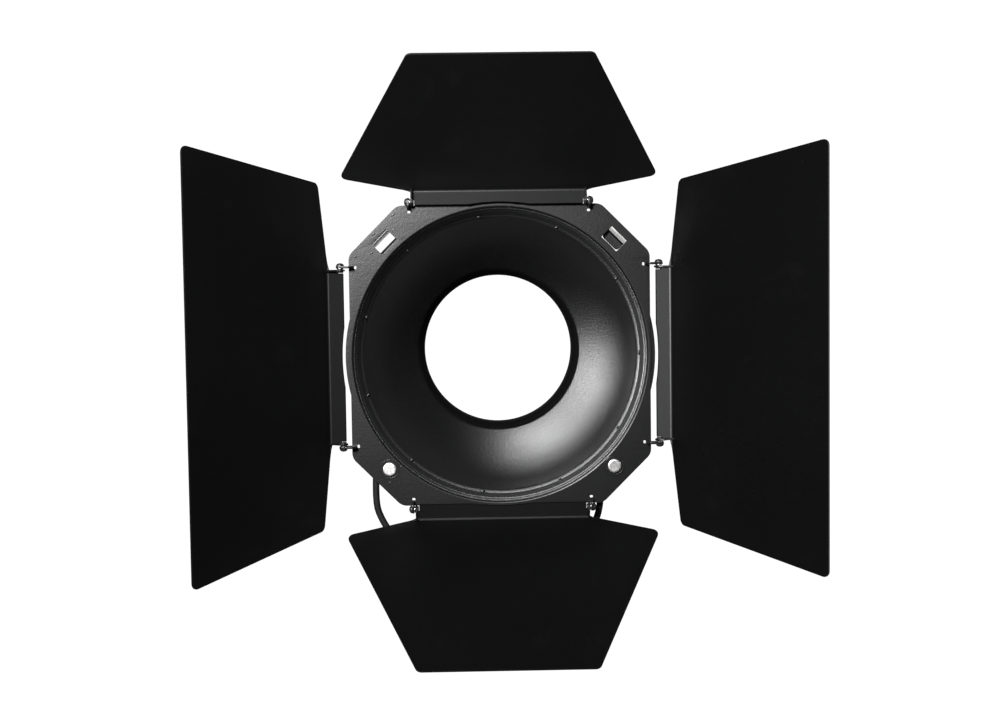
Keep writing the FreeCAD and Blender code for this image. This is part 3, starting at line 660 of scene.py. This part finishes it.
def left_window_shade_strip():
    """A black strip turned back behind the left window's inner edge: a dark sheet that stands in
    for the shade along that edge; the right window has none.
    """
    inner, width = WINDOW_RADIUS - WINDOW_WIDE / 2, 1.7
    section = rounded([(inner - 0.2, PLATE_BACK + 0.1, 0), (inner + 0.1, PLATE_BACK + 0.1, 0),
                       (inner + width, 102.4, 0.3), (inner + width - 0.6, 101.9, 0.3),
                       (inner - 0.2, 103.6, 0)], 3)
    return tab_mesh(-1, section, round_end=0.01)


def clip_rivet_place(side):
    away = RIVET_RADIUS / math.sqrt(2)
    return Matrix.Translation(forward(side * away, PLATE_FRONT, -away)) @ ABOUT_LAMP


def rivet_boss(side):
    """A faint raised ring pressed round a lower rivet."""
    boss = rounded([(4.9, -0.1, 0), (6.1, -0.1, 0), (5.9, 0.14, 0.2), (5.1, 0.14, 0.2)], 3)
    return turned_mesh(boss, clip_rivet_place(side), RIVET_ROUND)


def make_plate():
    meshes = [cut_sheet(plate_outlines(), PLATE_FRONT - PLATE_BACK, 0.2, FRONT_FACE), opening_lip()]
    for turn in (0, 90, 180, 270):
        for side in (1, -1):
            meshes.append(ear_mesh(turn, side))
    # the last strip is a dark sheet standing in for the shade along the left window's inner edge
    meshes += pressed_marks() + [rivet_boss(1), rivet_boss(-1), left_window_shade_strip()]
    make_piece("frame_plate_visual", meshes, "frame", "frame_paint", "frame_plate",
               flat_faces=True)


make_plate()

# ---------------------------------------------------------------- window tabs and clip rivets


def tab_bend(radius, last, steps=9):
    """The outside of a tab's bend, from the plate's face down to a slope in degrees."""
    tilts = [math.radians(last * step / steps) for step in range(steps + 1)]
    return [(TAB_EDGE - 0.05 - radius * math.sin(tilt),
             PLATE_FRONT - radius * (1 - math.cos(tilt)), 0) for tilt in tilts]


def steep_section():
    """The left tab, bent back to stand almost square to the plate."""
    return rounded([
        (TAB_EDGE, PLATE_FRONT, 0), *tab_bend(1.5, 76), (TAB_EDGE - 2.3, 99.5, 0.6),
        (TAB_EDGE - 2.6, 97.5, 0.3), (TAB_EDGE - 1.7, 97.4, 0.3),
        (TAB_EDGE - 0.1, PLATE_BACK - 0.4, 0.8), (TAB_EDGE, PLATE_BACK, 0),
    ], 6)


def stepped_section():
    """The right tab, which slopes back, drops and goes on level, to a rounded end."""
    end, top, bottom = TAB_EDGE - 7.9, 102.0, 101.2
    steps = (0.0, 0.15, 0.4, 0.8, 1.3, 2.0)
    under = [(end + step, bottom, 0) for step in steps]
    over = [(end + step, top, 0) for step in reversed(steps)]
    return rounded([
        (TAB_EDGE, PLATE_FRONT, 0), *tab_bend(2.6, 24), (TAB_EDGE - 2.6, 105.1, 0.2),
        (TAB_EDGE - 3.1, top, 0.4), *over, *under, (TAB_EDGE - 3.9, bottom, 0.8),
        (TAB_EDGE - 0.6, PLATE_BACK - 0.2, 1.2), (TAB_EDGE, PLATE_BACK, 0),
    ], 6)


def make_tab(name, side, section, round_end, bare):
    """One tab, with bare steel on the front of its bend, as far in from the edge as bare."""
    tab = make_piece(f"rim_tab_upper_{name}_visual", [tab_mesh(side, section, round_end)],
                     "frame", "frame_paint", f"rim_tab_upper_{name}", bevel=0.15)
    tab.data.materials.append(MATERIALS["bare_steel"])
    for face in tab.data.polygons:
        out = (side * face.center.x + face.center.z) * math.sqrt(0.5) / MM
        inward = -(side * face.normal.x + face.normal.z) * math.sqrt(0.5)
        on_front = -face.normal.y > 0.3 or name == "left" and inward > 0.5
        if on_front and TAB_EDGE - bare < out < TAB_EDGE - 0.1:
            face.material_index = 1


def make_clip_rivets():
    """Lower clip rivets: flat heads with an eased rim."""
    head = rounded([
        (0, -3.2, 0), (3.1, -3.2, 0.3), (3.1, -2.0, 0), (2.2, -2.0, 0), (2.2, 0, 0), (4.0, 0, 0),
        (4.0, 1.1, 0.5), (3.0, 1.22, 0.3), (0, 1.2, 0),
    ], 3)
    for side, name in ((1, "right"), (-1, "left")):
        rivet = turned_mesh(head, clip_rivet_place(side), RIVET_ROUND)
        make_piece(f"clip_rivet_lower_{name}_visual", [rivet], "frame", "bare_steel",
                   f"clip_rivet_lower_{name}")


make_tab("left", -1, steep_section(), round_end=0.6, bare=2.7)
make_tab("right", 1, stepped_section(), round_end=1.9, bare=2.6)
make_clip_rivets()

# ---------------------------------------------------------------- leaves and hinges

FLANGE_LIP, BOTTOM_FLANGE_LIP = -1.5, -2.8  # the flange's free edge, from the pivot
FLANGE_HALF = 50.5
NARROW_HALF, NARROW_TO = 48.9, 1.9  # the flange is narrower from its free edge to here
HOLLOW_HALF, HOLLOW_DEPTH = 17.5, 1.6
HOLLOW_STEPS, FOLD_STEPS = 8, 8
PANEL_STRIP = 4.0  # a first strip of the panel beside the fold, which keeps its shading even
PANEL_SLANT = 0.6  # where, along the panel, its sides start to slant outward
LEAF_EDGE, LEAF_EDGE_FROM = 0.22, 55


def leaf_frame(side, angle=None):
    """The leaf's own axes at its pivot, at rest or at an angle from closed in degrees."""
    leaf = LEAVES[side]
    opened = math.radians(180 - (leaf.rest if angle is None else angle))
    return (side_frame(leaf.turn) @ Matrix.Translation((0, -AXIS_FORWARD, leaf.axis))
            @ Matrix.Rotation(opened, 4, "X"))


def leaf_outline(leaf, lip, flat, panel_start):
    """The flat blank: half widths, and distances from the flange's free edge towards the tip.

    flat is where the flange's straight stretch ends, and panel_start where the panel's zero lies.
    """
    narrow = NARROW_TO - lip
    reach = (PANEL_SLANT + FLANGE_SET) / leaf.shoulder
    shares = [step / HOLLOW_STEPS for step in range(1, HOLLOW_STEPS + 1)]
    right = [(HOLLOW_HALF * share, HOLLOW_DEPTH * (1 - share * share), 0) for share in shares]
    right += [
        (NARROW_HALF, 0.0, 0.5), (NARROW_HALF, narrow, 0.2), (FLANGE_HALF, narrow, 0),
        (FLANGE_HALF + 0.1, flat + 0.3, 0.3),
        (LEAF_ROOT + (leaf.wide - LEAF_ROOT) * reach, panel_start + PANEL_SLANT, 0.3),
        (leaf.wide, panel_start + leaf.shoulder - FLANGE_SET, 4.2),
        (leaf.tip, panel_start + LEAF_LENGTH - FLANGE_SET, 3.6),
    ]
    left = [(-x, y, radius) for x, y, radius in reversed(right)]
    return rounded(right + left, 6)


def leaf_sheet(side):
    """The panel and its root flange as one sheet, folded with a true bend radius.

    Folded, y is the distance from the pivot along the flange, and z the distance along the panel.
    """
    leaf = LEAVES[side]
    lip = BOTTOM_FLANGE_LIP if side == "bottom" else FLANGE_LIP
    bend = FOLD_INSIDE + SHEET / 2
    flat = leaf.flange - bend - SHEET / 2 - lip
    arc = bend * math.pi / 2
    flange_plane = SHEET / 2 - FLANGE_SET
    panel_plane = leaf.flange - SHEET / 2
    panel_start = flat + arc - (flange_plane + bend)
    shape = bmesh.new()
    shape.faces.new([shape.verts.new((x, y, 0))
                     for x, y in leaf_outline(leaf, lip, flat, panel_start)])
    cuts = [flat + arc * step / FOLD_STEPS for step in range(FOLD_STEPS + 1)]
    for cut in (*cuts, flat + arc + PANEL_STRIP):
        bmesh.ops.bisect_plane(shape, geom=shape.verts[:] + shape.edges[:] + shape.faces[:],
                               plane_co=(0, cut, 0), plane_no=(0, 1, 0), dist=1e-5)
    for vertex in shape.verts:
        x, y, _ = vertex.co
        if y <= flat:
            vertex.co = (x, y + lip, flange_plane)
        elif y <= flat + arc:
            turn = (y - flat) / bend
            vertex.co = (x, panel_plane - bend + bend * math.sin(turn),
                         flange_plane + bend - bend * math.cos(turn))
        else:
            vertex.co = (x, panel_plane, y - panel_start)
    bmesh.ops.recalc_face_normals(shape, faces=shape.faces[:])
    return as_mesh("leaf", shape)


def thick(mesh, thickness):
    """The same sheet with its thickness, half to each side, and eased edges."""
    holder = add_object("thick", mesh)
    solid = holder.modifiers.new("solid", "SOLIDIFY")
    solid.thickness = thickness
    solid.offset = 0.0
    solid.use_even_offset = True
    solid.use_quality_normals = True
    add_bevel(holder, LEAF_EDGE, LEAF_EDGE_FROM)
    graph = bpy.context.evaluated_depsgraph_get()
    made = bpy.data.meshes.new_from_object(holder.evaluated_get(graph))
    bpy.data.objects.remove(holder)
    bpy.data.meshes.remove(mesh)
    return made


def cheek_mesh(side, end):
    """One hinge cheek: a small plate across the flange's end, with the pin's hole."""
    flange = LEAVES[side].flange
    outline = rounded([
        (-1.6, -2.4, 1.0), (-2.8, -0.8, 1.4), (-2.8, 0.8, 1.4), (-1.8, 2.4, 1.0), (0.6, 3.2, 1.5),
        (flange - 2, 2.4, 1.5), (flange, 1.6, 0.4), (flange, -1.2, 0.4), (3.4, -1.2, 0.5),
        (2.0, -2.4, 0.8),
    ], 4)
    middle = end * (CHEEK_IN + CHEEK_OUT) / 2
    axes = Matrix(((0, 0, 1, middle), (1, 0, 0, 0), (0, 1, 0, 0), (0, 0, 0, 1)))
    return cut_sheet([outline, ring_outline(PIN_HOLE, 24)], CHEEK_OUT - CHEEK_IN, 0.18, axes)


def make_leaves():
    for side in LEAVES:
        place = leaf_frame(side)
        meshes = [thick(leaf_sheet(side), SHEET), cheek_mesh(side, 1), cheek_mesh(side, -1)]
        for mesh in meshes:
            mesh.transform(place)
        make_piece(f"leaf_{side}_visual", meshes, f"{side}_leaf", "leaf_paint", f"leaf_{side}",
                   flat_faces=True)


def make_hinge_rivets():
    """Each hinge's rivet and washer, turned about the pivot; heights run outward along it."""
    rivet = rounded([
        (0, 49.15, 0), (1.9, 49.15, 0.3), (1.9, 49.95, 0), (1.2, 49.95, 0), (1.2, 53.0, 0),
        (2.3, 53.0, 0), (2.2, 53.8, 0.4), (1.4, 54.5, 0.5), (0, 54.8, 0),
    ], 3)
    washer = rounded([(1.2, 51.1, 0), (1.9, 51.1, 0.12), (1.9, 51.8, 0.12), (1.2, 51.8, 0)], 2)
    for side in LEAVES:
        hinge = leaf_frame(side, 90)
        for end, turn in (("a", 90), ("b", -90)):
            place = hinge @ Matrix.Rotation(math.radians(turn), 4, "Y")
            make_piece(f"hinge_rivet_{side}_{end}_visual", [turned_mesh(rivet, place, PIN_ROUND)],
                       "frame", "hinge_rivet_black", f"hinge_rivet_{side}_{end}")
            make_piece(f"hinge_washer_{side}_{end}_visual", [turned_mesh(washer, place, PIN_ROUND)],
                       "frame", "spring_steel", f"hinge_washer_{side}_{end}")


make_leaves()
make_hinge_rivets()

# ---------------------------------------------------------------- CAD nodes that stay

KEPT = {
    "collar_lugs": "collar_black", "collar_rivets": "bare_steel", "drum_ring": "frame_paint",
    "rim_clip_lower_left": "spring_steel", "rim_clip_lower_right": "spring_steel",
    "cord_anchor_left": "ferrule_black", "cord_anchor_right": "ferrule_black",
}
for node_name, slot_name in KEPT.items():
    kept = bpy.data.objects[node_name]
    kept.data.materials.clear()
    kept.data.materials.append(MATERIALS[slot_name])

# ---------------------------------------------------------------- floor and light

FLOOR_RADIUS, FLOOR_PLACE = 0.47, (0, -0.05, -0.42)


def make_floor():
    """A pale round floor under the object, below the camera's view; it doesn't light the object."""
    shape = bmesh.new()
    bmesh.ops.create_circle(shape, cap_ends=True, segments=96, radius=FLOOR_RADIUS,
                            matrix=Matrix.Translation(FLOOR_PLACE))
    mesh = as_mesh("floor", shape)
    floor = add_object("floor", mesh)
    nodes = Nodes("floor_pale")
    slow = nodes.noise(3.0, 2.0, 0.5)
    colour = nodes.mix(slow, grey(0.80), grey(0.84))
    mesh.materials.append(nodes.finish(colour, nodes.remap(slow, 0.3, 0.7, 0.7, 0.8)))
    floor.visible_diffuse = False
    floor.visible_glossy = False


def make_world():
    """White behind the object for the camera; a dim light all round, less dim from behind."""
    world = bpy.data.worlds.new("studio")
    world.use_nodes = True
    tree = world.node_tree
    background = tree.nodes["Background"]
    path = tree.nodes.new("ShaderNodeLightPath")
    direction = tree.nodes.new("ShaderNodeTexCoord")
    parts = tree.nodes.new("ShaderNodeSeparateXYZ")
    tree.links.new(direction.outputs["Generated"], parts.inputs["Vector"])
    dim = tree.nodes.new("ShaderNodeMapRange")
    for key, value in (("From Min", 0.25), ("From Max", 0.75), ("To Min", 0.03), ("To Max", 0.16)):
        dim.inputs[key].default_value = value
    tree.links.new(parts.outputs["Y"], dim.inputs["Value"])
    strength = tree.nodes.new("ShaderNodeMapRange")
    strength.inputs["To Max"].default_value = 1.05
    tree.links.new(dim.outputs["Result"], strength.inputs["To Min"])
    tree.links.new(path.outputs["Is Camera Ray"], strength.inputs["Value"])
    tree.links.new(strength.outputs["Result"], background.inputs["Strength"])
    background.inputs["Color"].default_value = (1, 1, 1, 1)
    bpy.context.scene.world = world


RING = ("mouth_ring_visual", "ring_crimps_visual")
INSIDE = ("reflector_bowl_visual", *RING)
RIM_PARTS = (*RING, "frame_plate_visual", "drum_ring")
TOP_LEAF = ("leaf_top_visual",)
RIGHT_LEAF = ("leaf_right_visual",)
BOTTOM_LEAF = ("leaf_bottom_visual",)
LEFT_TAB = ("rim_tab_upper_left_visual",)
TABS = (*LEFT_TAB, "rim_tab_upper_right_visual")
CLIP_RIVETS = ("clip_rivet_lower_left_visual", "clip_rivet_lower_right_visual")
UPRIGHT, AXIAL = (0, 0, 1), (0, 1, 0)
LIGHTS = (
    # name, place, target, size, watts, spread, which way is above, and whether it lights only
    # these pieces or spares them
    ("above_floor", (0.0, -0.05, 1.30), (0.0, -0.05, -0.42), (1.2, 1.2), 15.0, 120, AXIAL,
     "INCLUDE", ("floor",)),
    ("key", (-0.28, -0.92, 0.34), (0.0, -0.10, 0.0), (0.20, 0.20), 1.75, 60, UPRIGHT,
     "EXCLUDE", RIGHT_LEAF + BOTTOM_LEAF),
    ("rear_left", (-0.815, 0.33, 0.25), (0.04, -0.03, -0.02), (0.7, 0.28), 5.8, 90, AXIAL,
     "INCLUDE", INSIDE),
    ("rear_upper", (-0.386, 0.33, 0.757), (0.03, -0.03, -0.05), (0.7, 0.28), 5.8, 90, AXIAL,
     "INCLUDE", INSIDE),
    ("side_left", (-0.76, -0.60, 0.10), (0.08, -0.10, -0.01), (0.35, 0.30), 3.4, 60, AXIAL,
     "INCLUDE", RING),
    ("side_upper", (-0.56, -0.38, 0.56), (0.05, -0.10, -0.05), (0.45, 0.30), 1.5, 60, AXIAL,
     "INCLUDE", RIM_PARTS),
    ("side_top", (-0.12, -0.60, 0.76), (0.0, -0.10, -0.08), (0.35, 0.30), 1.6, 60, AXIAL,
     "INCLUDE", RING),
    ("top", (-0.33, -0.62, 0.26), (-0.04, -0.11, 0.09), (0.2, 0.2), 0.9, 60, UPRIGHT,
     "INCLUDE", TOP_LEAF),
    ("low", (-0.28, -0.92, 0.34), (0.0, -0.12, -0.10), (0.2, 0.2), 0.68, 60, UPRIGHT,
     "INCLUDE", BOTTOM_LEAF),
    ("right", (0.42, -0.85, 0.16), (0.10, -0.11, 0.0), (0.25, 0.3), 3.9, 60, UPRIGHT,
     "INCLUDE", RIGHT_LEAF),
    ("bottom", (0.0, -0.88, -0.34), (0.0, -0.11, -0.09), (0.3, 0.25), 0.45, 60, UPRIGHT,
     "INCLUDE", BOTTOM_LEAF),
    ("steel_low", (0.0, -0.60, -0.45), (0.0, -0.10, 0.067), (0.5, 0.3), 0.17, 60, UPRIGHT,
     "INCLUDE", TABS),
    ("steel_right", (0.42, -0.50, -0.40), (-0.067, -0.10, 0.067), (0.3, 0.3), 1.6, 60, UPRIGHT,
     "INCLUDE", LEFT_TAB),
    ("steel_rear", (-0.03, 0.45, 0.03), (-0.067, -0.10, 0.067), (0.3, 0.3), 0.16, 60, UPRIGHT,
     "INCLUDE", LEFT_TAB),
    ("steel", (-0.30, -0.80, 0.30), (-0.03, -0.10, 0.0), (0.3, 0.3), 1.0, 60, UPRIGHT,
     "INCLUDE", CLIP_RIVETS),
)


def area_light(name, place, target, size, power, spread, above, state, names):
    """A soft rectangular light aimed at a target, for the named pieces or for all the others."""
    data = bpy.data.lights.new(name, "AREA")
    data.shape = "RECTANGLE"
    data.size, data.size_y = size
    data.energy = power
    data.spread = math.radians(spread)
    light = add_object(name, data)
    light.visible_camera = False
    away = (Vector(place) - Vector(target)).normalized()
    across = Vector(above).cross(away).normalized()
    turn = Matrix((across, away.cross(across), away)).transposed().to_4x4()
    light.matrix_world = Matrix.Translation(place) @ turn
    group = bpy.data.collections.new(f"{name}_receivers")
    for piece in names:
        group.objects.link(bpy.data.objects[piece])
    light.light_linking.receiver_collection = group
    for item in group.collection_objects:
        item.light_linking.link_state = state


make_floor()
make_world()
for row in LIGHTS:
    area_light(*row)
bpy.context.scene.view_settings.view_transform = "Standard"
